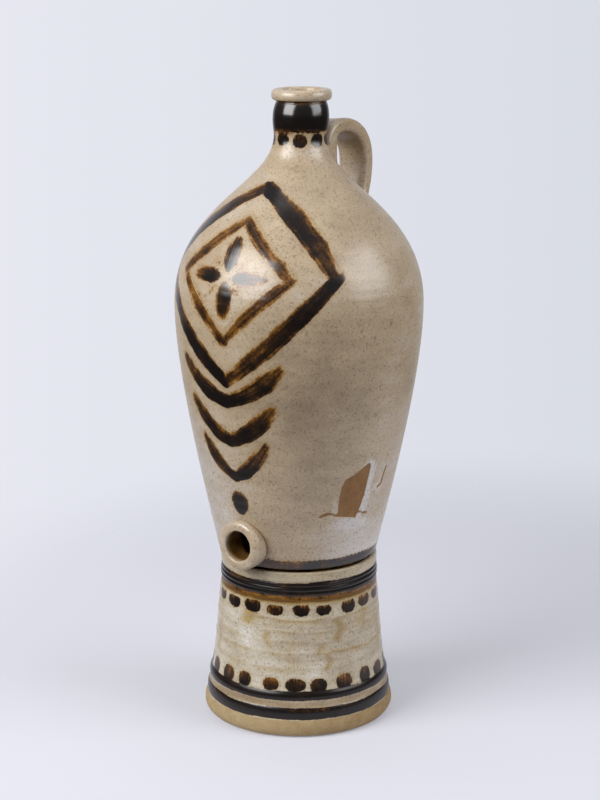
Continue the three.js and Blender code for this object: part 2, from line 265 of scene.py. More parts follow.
def spun(points, columns, centre, axis, closed=False):
    """Turns a chain of points right round an axis."""
    bm = bmesh.new()
    verts = [bm.verts.new(p) for p in points]
    chain = list(zip(verts, verts[1:]))
    if closed:
        chain.append((verts[-1], verts[0]))
    edges = [bm.edges.new(pair) for pair in chain]
    bmesh.ops.spin(
        bm, geom=verts + edges, cent=centre, axis=axis, angle=2 * math.pi, steps=columns, use_merge=True
    )
    bmesh.ops.remove_doubles(bm, verts=bm.verts, dist=0.002)
    bmesh.ops.recalc_face_normals(bm, faces=bm.faces)
    return bm


def piece(name, bm):
    """A smooth object in metres from a mesh that was drawn in millimetres."""
    bmesh.ops.scale(bm, vec=(0.001, 0.001, 0.001), verts=bm.verts)
    mesh = bpy.data.meshes.new(name)
    bm.to_mesh(mesh)
    bm.free()
    mesh.shade_smooth()
    made = bpy.data.objects.new(name, mesh)
    bpy.context.scene.collection.objects.link(made)
    return made


def points_of(made):
    """The points of a piece, in millimetres."""
    flat = np.empty(len(made.data.vertices) * 3, np.float32)
    made.data.vertices.foreach_get("co", flat)
    return flat.reshape(-1, 3).astype(float) * 1000


def move_points(made, points):
    """Puts the points of a piece where they are given, in millimetres."""
    made.data.vertices.foreach_set("co", (points / 1000).astype(np.float32).ravel())
    made.data.update()


def keep(made, name, *values):
    """Stores one value, or three, at each point of the mesh, for its glaze to read."""
    if len(values) == 1:
        layer = made.data.attributes.new(name, "FLOAT", "POINT")
        layer.data.foreach_set("value", values[0].astype(np.float32))
    else:
        layer = made.data.attributes.new(name, "FLOAT_VECTOR", "POINT")
        layer.data.foreach_set("vector", np.stack(values, axis=1).astype(np.float32).ravel())


def eased(value, low, high):
    """0 below low, 1 above high, and a soft rise between them."""
    t = np.clip((value - low) / (high - low), 0, 1)
    return t * t * (3 - 2 * t)


def hump(value, middle, half):
    """1 at the middle, falling away softly over a half width."""
    return np.exp(-((value - middle) / half) ** 2)


def turned(angle, place):
    """How far round from a place each point lies, from minus pi to pi."""
    return (angle - place + math.pi) % (2 * math.pi) - math.pi


def waver(angle, seed):
    """An uneven line that closes on itself round the pot, from about -1 to 1."""
    turn = np.random.default_rng(seed).uniform(0, 2 * math.pi, 5)
    line = np.zeros_like(angle)
    for share, count, start in zip((0.4, 0.3, 0.25, 0.2, 0.15), (2, 5, 9, 17, 31), turn):
        line += share * np.sin(count * angle + start)
    return line


def gap_to(at, line):
    """How far points lie from a line through a few corners."""
    nearest = np.full(len(at), 1e9)
    for here, there in zip(line, line[1:]):
        way = there - here
        share = np.clip((at - here) @ way / (way @ way), 0, 1)
        nearest = np.minimum(nearest, np.linalg.norm(at - here - share[:, None] * way, axis=1))
    return nearest


def enclosed(at, outline):
    """Which points lie inside a closed outline that has no level edge."""
    within = np.zeros(len(at), bool)
    for here, there in zip(outline, np.roll(outline, -1, axis=0)):
        passes = (here[1] > at[:, 1]) != (there[1] > at[:, 1])
        reach = here[0] + (at[:, 1] - here[1]) * (there[0] - here[0]) / (there[1] - here[1])
        within ^= passes & (at[:, 0] < reach)
    return within


# The jar's wall, from the foot up to the groove under the lip
belly = (belly_radius, BELLY_HEIGHT)
neck = (NECK_RADIUS, NECK_HEIGHT)
lower_wall = swept(WALL_ROWS, (HEEL_RADIUS, HEEL_HEIGHT), *LOWER_PULLS, belly)
shoulder = swept(WALL_ROWS, belly, *SHOULDER_PULLS, neck)
collar = swept(1.1, neck, *COLLAR_PULLS, (GROOVE_RADIUS, GROOVE_HEIGHT))
wall = profile([(FOOT_RADIUS, 0), (FOOT_RADIUS, 5)], lower_wall, shoulder, collar)
wall_run = np.concatenate([[0], np.cumsum(np.linalg.norm(np.diff(wall, axis=0), axis=1))])
belly_run = np.interp(BELLY_HEIGHT, wall[:, 1], wall_run)


def wall_radius(z):
    """Radius of the jar's outside at a height above the floor."""
    return np.interp(np.asarray(z, float) - jar_base, wall[:, 1], wall[:, 0])


def thrown(points):
    """The small faults of throwing: a bent axis, a wall that isn't quite round, and faint rings."""
    x, y, z = points.T
    angle = np.arctan2(x, -y)
    height = np.clip(z - jar_base, 0, None)
    beat = 0.6 + 0.4 * np.sin(height / THROWING_BEAT)
    ring = np.sin(2 * math.pi * height / THROWING_PITCH + angle) * beat
    loss = OUT_OF_ROUND * (0.5 + 0.5 * np.sin(2 * angle + height / OVAL_TWIST))
    loss += THROWING_RING * (0.5 + 0.5 * ring)
    radius = np.maximum(np.hypot(x, y), 1e-6)
    share = 1 - loss * np.clip(radius / FULL_FAULT_RADIUS, 0, 1) / radius
    lean = LIP_LEAN * np.clip((height - BELLY_HEIGHT) / (lip_top - jar_base - BELLY_HEIGHT), 0, 1) ** 3
    lean -= FOOT_LEAN * np.clip(1 - height / BELLY_HEIGHT, 0, 1) ** 2
    return np.stack([x * share, y * share, z], axis=1) + lean[:, None] * VIEW_RIGHT


class Brushwork:
    """What the brush leaves on a surface: how far each point lies inside a stroke, in millimetres, its
    place along and across that stroke, and how loaded the brush was there."""

    def __init__(self, angle, radius, up):
        self.angle = angle
        self.radius = radius
        self.at = np.stack([angle * radius, up], axis=1)
        count = len(angle)
        self.cover = np.full(count, -EDGE_REACH)
        self.along = np.zeros(count)
        self.across = np.zeros(count)
        self.load = np.zeros(count)

    def lay(self, where, cover, along, across, load):
        """Keeps the stroke that covers a point most."""
        best = cover > self.cover[where]
        where = where[best]
        self.cover[where] = cover[best]
        self.along[where] = along[best]
        self.across[where] = across[best]
        self.load[where] = load[best]

    def stroke(self, start, bend, end, width, load, taper=(0.6, 0.3), pool=0.28):
        """One pull of a round brush along a bent line, that presses down and lifts off again."""
        path = swept(STROKE_STEP, start, bend, end)
        count = len(path)
        t = np.linspace(0, 1, count)
        press = np.interp(t, (0, 0.3, 0.7, 1), (taper[0], 1, 0.95, taper[1]))
        shake = np.convolve(rng.normal(0, 1, count + 8), np.ones(9) / 9, "valid")
        half = width / 2 * press * (1 + 0.16 * shake)
        low = path.min(0) - width
        high = path.max(0) + width
        where = np.nonzero(np.all((self.at > low) & (self.at < high), axis=1))[0]
        if not len(where):
            return
        offset = self.at[where][:, None] - path[None]
        cover = half - np.linalg.norm(offset, axis=2)
        nearest = cover.argmax(1)
        rows = np.arange(len(where))
        tangent = np.gradient(path, axis=0)
        tangent /= np.linalg.norm(tangent, axis=1)[:, None]
        away = offset[rows, nearest]
        side = away[:, 0] * -tangent[nearest, 1] + away[:, 1] * tangent[nearest, 0]
        run = t[nearest] * STROKE_STEP * count + rng.uniform(0, BRISTLE_SHIFT)
        sunk = np.clip(-away[:, 1] / (width / 2), -1, 1)
        loaded = np.interp(t[nearest], (0, 1), load) + pool * sunk
        self.lay(where, cover[rows, nearest], run, side + rng.uniform(0, BRISTLE_SHIFT), loaded)

    def dab(self, centre, length, width, angle, load, taper=(0.35, 0.55)):
        """A short touch of the brush, drawn from its point to its heel."""
        reach = np.array([math.cos(angle), math.sin(angle)]) * (length - width * 0.6) / 2
        middle = np.array(centre, float)
        self.stroke(middle - reach, middle, middle + reach, width, load, taper, pool=0.12)

    def band(self, z, low, high, load, edge, seed, beads=0):
        """A line run round the pot on the wheel, with edges that waver or bead."""
        upper = high + edge * waver(self.angle, seed + 1)
        if beads:
            swell = 1.2 + 0.9 * waver(self.angle, seed + 5)
            upper = upper + swell * np.abs(np.sin(beads * self.angle / 2))
        cover = np.minimum(z - low - edge * waver(self.angle, seed), upper - z)
        where = np.nonzero(cover > -EDGE_REACH)[0]
        loaded = load + 0.12 * waver(self.angle, seed + 2)[where] + 0.3 * eased(-cover[where], -3, 0)
        self.lay(where, cover[where], self.at[where, 0], z[where] + seed * 37, loaded)

    def blob(self, turn, up, width, height, load, flat_top=0.0, outline=0.0):
        """A spot set down with the side of the brush, cut flat above or dark round its edge."""
        size = np.array([width / 2, height / 2])
        away = np.stack([turned(self.angle, turn) * self.radius, self.at[:, 1] - up], axis=1)
        where = np.nonzero(np.all(np.abs(away) < size + 8, axis=1))[0]
        away = away[where]
        reach = (np.abs(away / size) ** 2.15).sum(1) ** (1 / 2.15)
        cover = (1 - reach) * size.min()
        if flat_top:
            cover = np.minimum(cover, size[1] * (1 - flat_top) - away[:, 1])
        sunk = np.clip(-away[:, 1] / size[1], -1, 1)
        start = rng.uniform(0, BRISTLE_SHIFT)
        self.lay(
            where, cover, away[:, 1] + start, 1.2 * away[:, 0] + start,
            load + 0.22 * sunk + outline * eased(reach, 0.4, 0.95),
        )

    def store(self, made, amber, bare):
        """Distances are kept as 0 to 1, with the edge of the paint or of the bare clay at a half."""
        painted, bared = (np.clip(0.5 + gap / (2 * EDGE_REACH), 0, 1) for gap in (self.cover, bare))
        keep(made, "paint", painted, self.load, amber)
        keep(made, "brush", self.along, self.across, bared)


# Jar body: foot, wall, neck, collar and lip in one, as the joins of the thrown sections are glazed over
lip_middle = GROOVE_HEIGHT + 5.2
top = lip_top - jar_base - 0.02
jar_profile = profile(
    [(0, 2), (30, 2), (53, 2)],
    swept(0.7, (53, 2), (54.6, 1.6), (55, 0.4), (56, 0)),
    [(61, 0), (67.6, 0)],
    swept(0.5, (67.6, 0), (FOOT_RADIUS, 0), (FOOT_RADIUS, 1.4)),
    [(FOOT_RADIUS, 3.2), (FOOT_RADIUS, 4.8)],
    swept(0.6, (FOOT_RADIUS, 4.8), (FOOT_RADIUS, 5.4), (FOOT_RADIUS + 0.7, 5.7)),
    [(71.5, 6.5), (73.8, 7.7)],
    swept(0.6, (73.8, 7.7), (HEEL_RADIUS, HEEL_HEIGHT - 0.4), (HEEL_RADIUS + 0.3, HEEL_HEIGHT + 1.6)),
    lower_wall[1:],
    shoulder,
    collar[:-1],
    swept(0.6, (GROOVE_RADIUS + 0.6, GROOVE_HEIGHT - 0.8), (GROOVE_RADIUS - 0.3, GROOVE_HEIGHT),
          (GROOVE_RADIUS + 0.8, GROOVE_HEIGHT + 0.6)),
    swept(0.9, (GROOVE_RADIUS + 0.8, GROOVE_HEIGHT + 0.6), (LIP_RADIUS, GROOVE_HEIGHT + 0.9),
          (LIP_RADIUS, lip_middle)),
    swept(0.9, (LIP_RADIUS, lip_middle), (LIP_RADIUS, top - 0.2), (24, top)),
    [(24, top), (22.2, top), (20.5, top)],
    swept(0.6, (20.5, top), (MOUTH_RADIUS, top), (MOUTH_RADIUS, top - 3)),
    swept(6, (MOUTH_RADIUS, top - 3), (MOUTH_RADIUS, NECK_HEIGHT)),
    (shoulder[::-4] - (JAR_WALL, 0))[1:],
    (lower_wall[-5:5:-4] - (JAR_WALL, 0)),
    swept(3, (HEEL_RADIUS + 1 - JAR_WALL, 21), (HEEL_RADIUS - JAR_WALL, JAR_FLOOR), (57, JAR_FLOOR)),
    [(40, JAR_FLOOR), (20, JAR_FLOOR), (0, JAR_FLOOR)],
)
jar_body = piece(
    "jar_body",
    spun([(r, 0, h + jar_base) for r, h in jar_profile], JAR_COLUMNS, (0, 0, 0), (0, 0, 1)),
)

# The hole for the tap is cut a little wider than the bore, and the boss lines it.
bm = bmesh.new()
bmesh.ops.create_cone(
    bm, cap_ends=True, segments=64, radius1=HOLE_RADIUS, radius2=HOLE_RADIUS, depth=HOLE_CUTTER[0]
)
bmesh.ops.rotate(bm, verts=bm.verts, cent=(0, 0, 0), matrix=Matrix.Rotation(math.pi / 2, 3, "X"))
bmesh.ops.translate(bm, verts=bm.verts, vec=(0, HOLE_CUTTER[1], BOSS_HEIGHT))
hole = piece("hole", bm)
cut = jar_body.modifiers.new("tap_hole", "BOOLEAN")
cut.object = hole
cut.solver = "EXACT"
bored = bpy.data.meshes.new_from_object(jar_body.evaluated_get(bpy.context.evaluated_depsgraph_get()))
jar_body.modifiers.clear()
jar_body.data = bored
bored.shade_smooth()
bpy.data.objects.remove(hole)

points = points_of(jar_body)
x, y, z = points.T
angle = np.arctan2(x, -y)
radius = np.hypot(x, y)
outside = radius > wall_radius(np.clip(z, jar_base, jar_base + GROOVE_HEIGHT)) - 3
run = np.interp(z - jar_base, wall[:, 1], wall_run) - belly_run
# Points inside the jar are set far away, so that no brush reaches them.
brush = Brushwork(angle, wall_radius(z), np.where(outside, run, 1e4))
outer_z = np.where(outside, z, 1e4)


def run_at(height):
    """Distance along the wall from the belly to a height above the floor."""
    return float(np.interp(height - jar_base, wall[:, 1], wall_run) - belly_run)


# A nested lozenge on the shoulder, with a cross of almond dabs in it
centre = np.array([LOZENGE_TURN * belly_radius, run_at(LOZENGE_HEIGHT)])
corners = np.array([(0, 1), (1, 0), (0, -1), (-1, 0)], float)
for k in range(4):
    here, there = corners[k], corners[(k + 1) % 4]
    for share, bulge, width, load in LOZENGE_LINES:
        half = share * LOZENGE_HALF
        brush.stroke(
            centre + half * here, centre + half * (here + there) * bulge, centre + half * there,
            width, load, (0.8, 0.7),
        )
    brush.dab(centre + here * (23, 21), 38, 17, math.atan2(here[1], here[0]), (0.9, 0.45))
    aslant = (here + there) * (13, 12)
    brush.dab(centre + aslant, 15, 7, math.atan2(aslant[1], aslant[0]), (0.35, 0.2))
# Chevrons stacked down to the tap, and one drop over it
for half_width, height, width in CHEVRONS:
    tip = np.array([0, run_at(height)])
    for side in (-1, 1):
        start = tip + (side * half_width, CHEVRON_RISE)
        bend = tip + (side * half_width * 0.5, 6)
        brush.stroke(start, bend, tip, width, (0.4, 1.0), (0.7, 0.8))
brush.dab((0, run_at(DROP_HEIGHT)), 26, 18, -math.pi / 2, (0.6, 1.0))

# Bands and dots that go round: the collar, the neck's dots and the line at the heel, which runs on down
# over the undercut beneath the heel as painted shade
for band in COLLAR_BANDS:
    brush.band(outer_z, *band)
for k in range(NECK_DOTS):
    turn = NECK_DOT_TURN + 2 * math.pi * k / NECK_DOTS
    up = run_at(NECK_DOT_HEIGHT + rng.uniform(-0.7, 0.7))
    width, height = [size + rng.uniform(-1, 1) for size in NECK_DOT_SIZE]
    brush.blob(turn, up, width, height, rng.uniform(0.75, 1.0), outline=0.4)
brush.band(outer_z, *HEEL_BAND_AND_GAP_SHADE, beads=HEEL_BEADS)

# The glaze flows amber below the collar. It lies thick and grey at the heel to the right of the tap. Above
# that, and at the heel where the jar faces the camera between the two lamps, it is darkened: partly painted
# shade and partly glaze that the fire left thin and brown. Faint painted shade lies on the shoulder below
# the strap. Each line has an amount and says where it lies, in radians round from the tap and in heights
# from the floor.
drip = 3 + 2.5 * np.clip(waver(angle, 31), 0, 1)
amber = np.where(outside, 0.9 * eased(z, 563 - drip, 563.4 - 0.5 * drip) * (z < 566), 0)
amber = np.maximum(amber, 0.07 * eased(z, 587, 589))
to_right = eased(-angle, -2.9, -2.1)
to_left = eased(angle, -2.9, -2.1)
glaze_depth_and_shade = 0.6 * eased(-z, -225, -175) * eased(angle, 0.7, 1.25) * to_right
glaze_depth_and_shade += 0.18 * eased(-z, -330, -240)
glaze_depth_and_shade += 0.4 * eased(-angle, -0.1, 0.4) * to_left * eased(-z, -330, -260)
# Partly painted shade where the jar faces the camera between the lamps, partly glaze left thin
glaze_depth_and_shade -= 0.5 * hump(angle, 0.72, 0.5) * eased(z, 195, 250) * eased(-z, -420, -350)
glaze_depth_and_shade -= 0.45 * hump(angle, 0.42, 0.4) * eased(-z, -240, -195)
# Painted shade on the shoulder below the strap's root
glaze_depth_and_shade -= 0.12 * eased(angle, 0.3, 0.7) * to_right * eased(z, 425, 465) * eased(-z, -535, -515)

# A flame-shaped patch that the glaze left bare, with cracks running out at its foot, a hair crack to the
# right of it, and glaze heaped thick and pale round them
patch = np.array([PATCH_TURN * float(wall_radius(PATCH_HEIGHT)), run_at(PATCH_HEIGHT)])
away = brush.at - patch
near = np.nonzero(np.abs(away).max(1) < 60)[0]
away = away[near]
to_flame = gap_to(away, np.vstack([FLAME, FLAME[:1]]))
within = enclosed(away, FLAME)
to_crack = np.minimum(gap_to(away, LEFT_TAIL), gap_to(away, RIGHT_TAIL))
to_hair = gap_to(away, HAIR_CRACK)
bare = np.full(len(points), -EDGE_REACH)
bare[near] = np.maximum(np.where(within, to_flame, -to_flame), 1.5 - to_crack)
bare[near] = np.maximum(bare[near], 1.1 - to_hair)
heaped = 1.2 * hump(gap_to(away, FLAME_RIGHT), 3.5, 3)
heaped += 0.4 * hump(to_flame, 3, 3) * eased(-away[:, 1], -4, 6)
heaped += 0.5 * hump(to_hair, 3, 3) * eased(-away[:, 0], -42, -34)
heaped += 0.5 * hump(away[:, 1], -32, 5) * eased(-np.abs(away[:, 0] + 6), -28, -14)
glaze_depth_and_shade[near] += np.where(within, 0, heaped)
glaze_depth_and_shade += 0.15 * eased(z, 588, 590)
glaze_depth_and_shade = np.where(outside, glaze_depth_and_shade, 0)
underside = np.where(z < jar_base + 2.5, EDGE_REACH, -EDGE_REACH)
brush.store(jar_body, amber, np.maximum(np.where(outside, bare, -EDGE_REACH), underside))
keep(jar_body, "glaze_depth_and_shade", glaze_depth_and_shade)
move_points(jar_body, thrown(points))


# Boss for the tap: a thrown ring whose back follows the jar's wall, with a sleeve through the wall
def lie_on_wall(x, z, proud):
    """How far out a point beside the tap lies when it stands proud of the wall by so much."""
    return -np.sqrt(np.maximum(wall_radius(z) ** 2 - x ** 2, 1)) - proud


boss_profile = profile(
    swept(2, (BORE_RADIUS, 24), (BORE_RADIUS, 3)),
    swept(0.5, (BORE_RADIUS, 3), (BORE_RADIUS, 0.1), (BORE_RADIUS + 2.4, 0.1)),
    swept(0.7, (BORE_RADIUS + 2.4, 0.1), (BORE_RADIUS + 3.2, -0.1), (BORE_RADIUS + 4.2, 0.2)),
    swept(0.7, (BORE_RADIUS + 4.2, 0.2), (BOSS_RADIUS, 0.6), (BOSS_RADIUS, BOSS_SIDE)),
    swept(1, (BOSS_RADIUS, 6), (BOSS_RADIUS, 17)),
    [(19.2, 18.6), (16.2, 20), (16.2, 24)],
)
bm = spun(
    [(r, depth, BOSS_HEIGHT) for r, depth in boss_profile],
    BOSS_COLUMNS, (0, 0, BOSS_HEIGHT), (0, 1, 0), closed=True,
)
tap_boss = piece("tap_ring", bm)
points = points_of(tap_boss)
x, depth, z = points.T
ring = np.hypot(x, z - BOSS_HEIGHT)
outer = (ring > 18) & (depth > BOSS_SIDE - 0.1) & (depth < 18)
tuck = np.where(outer, 1 - BOSS_TUCK * eased(depth, 9, 14.5) / ring, 1)
x = x * tuck
z = BOSS_HEIGHT + (z - BOSS_HEIGHT) * tuck
front = BOSS_FACE + depth
back = lie_on_wall(x, z, 0.2) + (depth - BOSS_BACK)
share = np.clip((depth - BOSS_SIDE) / (BOSS_BACK - BOSS_SIDE), 0, 1)
y = np.where(outer, front * (1 - share) + back * share, front)
# Painted shade, stored as amber, down the bore and where the boss's side meets the wall
bore_and_crease_shade = 0.7 * eased(depth, 12, 14.5) * outer + 0.95 * eased(-ring, -15.4, -14.4) * eased(depth, 1, 8)
keep(tap_boss, "paint", np.zeros(len(x)), np.zeros(len(x)), bore_and_crease_shade)
keep(tap_boss, "glaze_depth_and_shade", np.full(len(x), 0.1))
move_points(tap_boss, thrown(np.stack([x, y, z], axis=1)))

# Strap handle: a flat section with soft edges, drawn out along one sweep. Its upper end is smeared down the
# neck, and its lower end is pressed onto the shoulder with the thumb.
handle_line = swept(STRAP_ROWS, *STRAP_SWEEP)
sunk = wall_radius(handle_line[:, 1] + jar_base) - handle_line[:, 0]
sunk[: len(sunk) // 2] = 0
handle_line = handle_line[sunk < STRAP_SINK]
strap_steps = len(handle_line) - 1
handle_way = np.gradient(handle_line, axis=0)
handle_way /= np.linalg.norm(handle_way, axis=1)[:, None]
bm = bmesh.new()
bmesh.ops.create_grid(bm, x_segments=STRAP_SIDES, y_segments=strap_steps, size=0.5)
for vert in bm.verts:
    turn = 2 * math.pi * (vert.co.x + 0.5)
    t = vert.co.y + 0.5
    k = int(round(t * strap_steps))
    root = STRAP_ROOT[1] * (1 - float(eased(t, 0, STRAP_ROOT[0])))
    tail = float(eased(t, STRAP_TAIL_START, 1))
    rise = math.sin(turn)
    across, through = STRAP_OUTER_FORM if rise > 0 else STRAP_INNER_FORM
    aside = math.copysign(abs(math.cos(turn)) ** across, math.cos(turn))
    if rise > 0:
        lift = rise ** through * (STRAP_OUTER - STRAP_HOLLOW * (1 - aside * aside) ** 2)
        lift -= STRAP_THUMB * hump(t, *STRAP_THUMB_AT) * (1 - aside * aside)
        lift *= 1 - STRAP_THIN * tail
    else:
        lift = -abs(rise) ** through * STRAP_INNER
        lift *= 1 + STRAP_FILLET * hump(t, *STRAP_FILLET_AT)
    lift *= 1 - root - STRAP_EDGE_THIN * tail * abs(aside) ** 3
    vert.co.x = aside * (STRAP_WIDTH + STRAP_TAIL * tail) / 2 + STRAP_OFFSET
    vert.co.y = handle_line[k][0] - handle_way[k][1] * lift
    vert.co.z = handle_line[k][1] + handle_way[k][0] * lift + jar_base
    vert.co.z -= STRAP_TWIST * (1 - aside) / 2 * math.sin(math.pi * t)
bmesh.ops.remove_doubles(bm, verts=bm.verts, dist=0.002)
bmesh.ops.holes_fill(bm, edges=bm.edges, sides=0)
# A flat round of clay lies on the shoulder about the lower end, bent to the wall.
at_end = int(np.abs(shoulder[:, 1] - handle_line[-1][1]).argmin())
down = shoulder[at_end - 1] - shoulder[at_end + 1]
down /= np.linalg.norm(down)
outward = np.array([-down[1], down[0]])
pad_middle = shoulder[at_end] + down * STRAP_PAD_DROP - outward * STRAP_PAD_SINK
pad = Matrix.Identity(4)
pad.col[0] = (0, down[0] * STRAP_PAD[1], down[1] * STRAP_PAD[1], 0)
pad.col[1] = (0, outward[0] * STRAP_PAD[2], outward[1] * STRAP_PAD[2], 0)
pad.col[2] = (STRAP_PAD[0], 0, 0, 0)
pad.col[3] = (STRAP_OFFSET, pad_middle[0], pad_middle[1] + jar_base, 1)
smeared = bmesh.ops.create_uvsphere(bm, u_segments=48, v_segments=32, radius=1, matrix=pad)["verts"]
for vert in smeared:
    around = float(wall_radius(vert.co.z))
    vert.co.y += math.sqrt(around ** 2 - vert.co.x ** 2) - around
bmesh.ops.recalc_face_normals(bm, faces=bm.faces)
strap_handle = piece("pulled_strap", bm)
points = points_of(strap_handle)
x, y, z = points.T
edge = eased(np.abs(x), STRAP_WIDTH / 2 - 4, STRAP_WIDTH / 2)
keep(strap_handle, "paint", np.zeros(len(x)), np.zeros(len(x)), 0.12 * edge)
# Painted shade on the strap's underside, in the hollow of its arch by the neck
from_arch = np.hypot((y - ARCH_MIDDLE[0]) / 1.1, z - jar_base - ARCH_MIDDLE[1])
arch_shade = eased(-from_arch, -ARCH_RADIUS, 7 - ARCH_RADIUS)
keep(strap_handle, "glaze_depth_and_shade", 0.12 - 0.4 * arch_shade * eased(z, 520, 545) * (1 - edge))
move_points(strap_handle, thrown(points))

# Stand: a flared drum, with a rim that takes the jar's foot and mouldings at its base
stand_profile = profile(
    [(SEAT_OPENING, SEAT_HEIGHT - 7.5), (SEAT_OPENING, SEAT_HEIGHT - 9), (64, 132)],
    [(66, 110), (72, 70), (78, 30), (82, 1)],
    [(82.4, 0), (stand_foot - 8.2, 0), (stand_foot - 7.4, 1.1), (stand_foot - 4.2, 1.2)],
    swept(0.5, (stand_foot - 4.2, 1.2), (stand_foot - 3.4, 1.2), (stand_foot - 2.8, 1.9)),
    swept(0.8, (stand_foot - 2.8, 1.9), (stand_foot, 5), (stand_foot, 9)),
    swept(1.5, (stand_foot, 9), (stand_foot, 13), (89.4, 16)),
    swept(0.5, (89.4, 16), (89.1, 17), (88, 17.3)),
    swept(1.2, (88, 17.3), (89.6, 23), (87.3, 28.6)),
    swept(0.5, (87.3, 28.6), (86.8, 29.2), (86.5, 30)),
    swept(1.8, (86.5, 30), (86, 35)),
    swept(1.2, (86, 35), (87.4, 40), DRUM_SWEEP[0]),
    swept(1.1, *DRUM_SWEEP),
    swept(0.8, (WAIST_RADIUS, 134), (WAIST_RADIUS + 1.2, 141), (WAIST_RADIUS - 0.4, 148)),
    swept(0.5, (WAIST_RADIUS - 0.4, 148), (WAIST_RADIUS - 0.8, 149), (RIM_RADIUS - 0.4, 149.4)),
    swept(0.6, (RIM_RADIUS - 0.4, 149.4), (RIM_RADIUS, 149.6), (RIM_RADIUS, 150.4)),
    swept(1.5, (RIM_RADIUS, 150.4), (RIM_RADIUS, stand_top - 1.6)),
    swept(0.5, (RIM_RADIUS, stand_top - 1.6), (RIM_RADIUS, stand_top), (RIM_RADIUS - 1.6, stand_top)),
    swept(0.5, (RIM_INNER + 1, stand_top), (RIM_INNER, stand_top), (RIM_INNER, stand_top - 1)),
    [(RIM_INNER, stand_top - 2.5), (RIM_INNER, SEAT_HEIGHT + 0.8), (RIM_INNER - 0.8, SEAT_HEIGHT)],
    [(64, SEAT_HEIGHT), (57, SEAT_HEIGHT)],
    [(SEAT_OPENING + 1.5, SEAT_HEIGHT), (SEAT_OPENING, SEAT_HEIGHT - 1.5)],
)
stand = piece(
    "stand",
    spun([(r, 0, h) for r, h in stand_profile], STAND_COLUMNS, (0, 0, 0), (0, 0, 1), closed=True),
)
points = points_of(stand)
x, y, z = points.T
angle = np.arctan2(x, -y)
radius = np.hypot(x, y)
stand_wall = profile(
    [(stand_foot - 5, 0), (stand_foot, 5), (89, 17), (86, 35)],
    bezier(DRUM_SWEEP, 30),
    [(RIM_RADIUS, stand_top)],
)
outside = radius > np.interp(z, stand_wall[:, 1], stand_wall[:, 0]) - 4
outer_z = np.where(outside, z, 1e4)
brush = Brushwork(angle, radius, outer_z)
for band in STAND_BANDS:
    brush.band(outer_z, *band)
# Two rows of dots: dark ones cut flat above, under the upper band, and brown ones on the lower band
for count, phase, middle, width, height, loads, flat_top, outline in DOT_ROWS:
    for k in range(count):
        turn = math.radians(phase) + 2 * math.pi * (k + rng.uniform(-0.09, 0.09)) / count
        brush.blob(
            turn, middle + rng.uniform(-0.9, 0.9), width * rng.uniform(0.78, 1.08),
            height * rng.uniform(0.8, 1.06), rng.uniform(*loads), flat_top, outline,
        )

# Throwing lines stand out of the drum, and the glaze breaks to tan over them and in a few runs.
flow = 126 + 2 * waver(angle, 71) + 1.5 * waver(3 * angle, 73)
amber = np.where(outside, (1.2 * eased(z, 127, 134) + 0.5 * eased(z, flow - 3, 130.5)) * (z < 138), 0)
# Painted shade, darker and tan, in the groove between the two lower bands
fillet_shade = np.where(outside, eased(z, 27, 30) * eased(-z, -37, -34), 0)
amber = np.maximum(amber, 0.2 * fillet_shade)
amber = np.maximum(amber, np.where(outside & (z > 149), 0.14, 0))
ridge = np.zeros(len(points))
for level, height, seed in RIDGES:
    line = level + 1.2 * waver(angle, seed)
    ridge += height * np.where(outside, hump(z, line, 1.1), 0)
    smear = np.where(outside, hump(z, line, 1.2 + 2.5 * (z < line)), 0)
    amber = np.maximum(amber, 0.75 * height * smear * np.clip(0.6 + waver(angle, seed + 1), 0, 1))
on_cordon = np.where(outside, eased(z, 134, 136.5) * eased(-z, -148, -146), 0)
ridge += CORDON_RING * on_cordon * np.sin(2 * math.pi * (z + 0.4 * waver(angle, 93)) / CORDON_PITCH)
for place, high, low, half, strength in RUNS:
    turn = turned(angle, math.radians(place)) + 0.025 * np.sin(z / 3.1 + place)
    fallen = eased(z, low - 4, low + 4) * eased(-z, -high - 3, 3 - high)
    fallen *= hump(turn * radius, 0, half)
    amber = np.maximum(amber, np.where(outside, strength * fallen, 0))
bare = np.where(outside, GLAZE_LINE - z, EDGE_REACH)
bare = np.where((z > stand_top - 4) | (radius > RIM_INNER - 0.2) & (z > 120), -EDGE_REACH, bare)
brush.store(stand, amber, np.clip(bare, -EDGE_REACH, EDGE_REACH))
# The groove's painted shade darkens the glaze there too
glaze_depth_and_shade = 0.1 * waver(angle, 95) - 0.7 * fillet_shade
# The foot is paler to the left of the tap and darker and browner to the right.
glaze_depth_and_shade += np.where(z < GLAZE_LINE + 0.4, 0.6 * np.cos(angle + 0.9), 0)
for place, level, half, strength in POOLS:
    aside = turned(angle, math.radians(place)) * radius
    glaze_depth_and_shade += strength * np.exp(-(aside ** 2 + (z - level) ** 2) / half ** 2)
keep(stand, "glaze_depth_and_shade", np.where(outside, glaze_depth_and_shade, 0))
oval = STAND_OUT_OF_ROUND * (0.5 + 0.5 * np.sin(2 * angle + z / STAND_TWIST))
share = 1 + (ridge - oval) * outside / np.maximum(radius, 1e-6)
lean = STAND_LEAN * (1 - z / stand_top)
move_points(stand, np.stack([x * share, y * share, z], axis=1) - lean[:, None] * VIEW_RIGHT)


def linear(hex_colour):
    """An sRGB hex value as linear colour."""
    shades = [int(hex_colour[i:i + 2], 16) / 255 for i in (1, 3, 5)]
    return [c / 12.92 if c <= 0.04045 else ((c + 0.055) / 1.055) ** 2.4 for c in shades] + [1]


